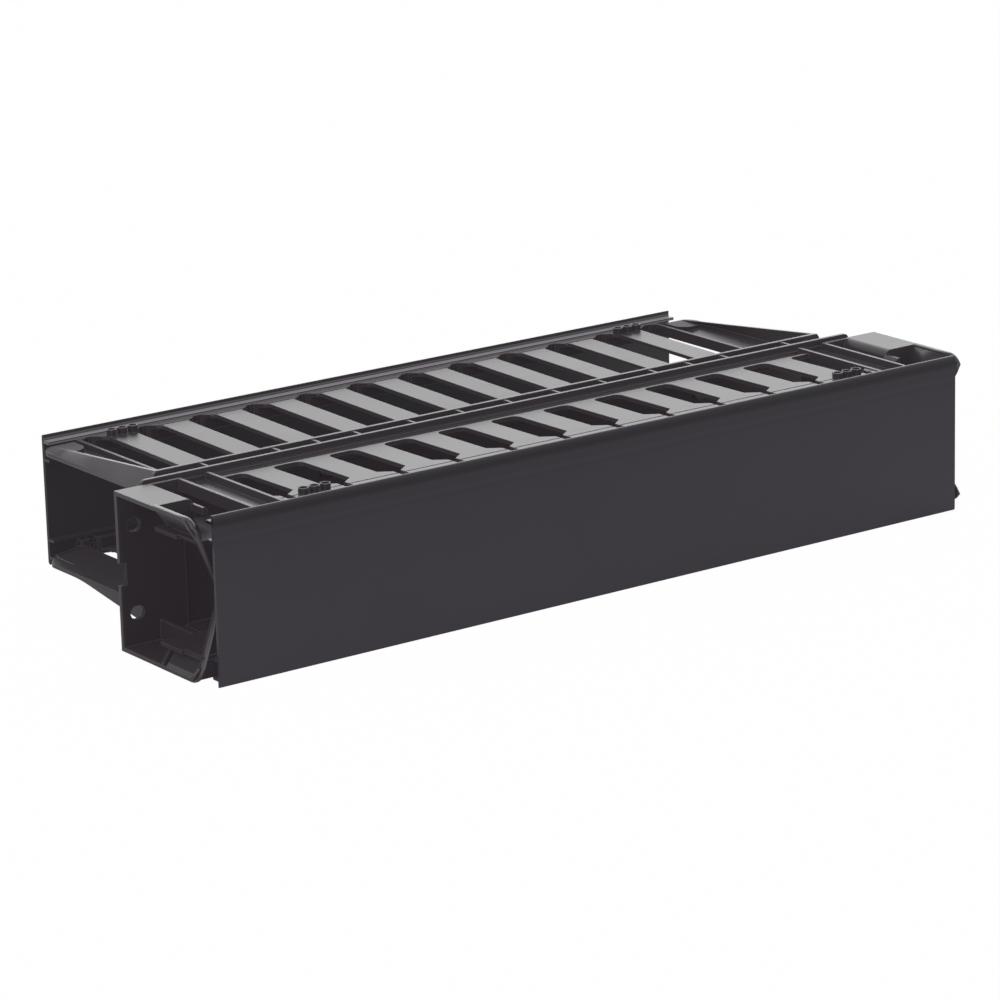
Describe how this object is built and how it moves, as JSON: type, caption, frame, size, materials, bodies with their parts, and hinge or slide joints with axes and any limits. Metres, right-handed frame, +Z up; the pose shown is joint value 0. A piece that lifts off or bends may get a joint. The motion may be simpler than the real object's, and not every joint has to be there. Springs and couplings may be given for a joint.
{
  "type": "horizontal cable manager",
  "caption": "Horizontal rack cable manager with finger channels front and rear, each closed by a hinged cover.",
  "frame": {"origin": "middle of the rack mounting face, which is the rear face of the ears", "axes": "+X along the rack width to the right seen from the front, +Y from the front cover towards the rear cover, +Z up"},
  "size_m": [0.4826, 0.2108, 0.086],
  "materials": {
    "black_plastic": "satin",
    "cover_plastic": "satin",
    "zinc_steel": "satin"
  },
  "bodies": {
    "frame": {"front_channel": "black_plastic", "rear_channel": "black_plastic", "joining_screws": "zinc_steel"},
    "front_lid": {"front_cover": "cover_plastic"},
    "rear_lid": {"rear_cover": "cover_plastic"}
  },
  "joints": [
    {"name": "front_cover_hinge", "type": "hinge", "parent": "frame", "child": "front_lid", "pos_m": [0, -0.0719, 0.036], "axis": [-1, 0, 0], "range_deg": [0, 60]},
    {"name": "rear_cover_hinge", "type": "hinge", "parent": "frame", "child": "rear_lid", "pos_m": [0, 0.1307, 0.0281], "axis": [1, 0, 0], "range_deg": [0, 75]}
  ]
}
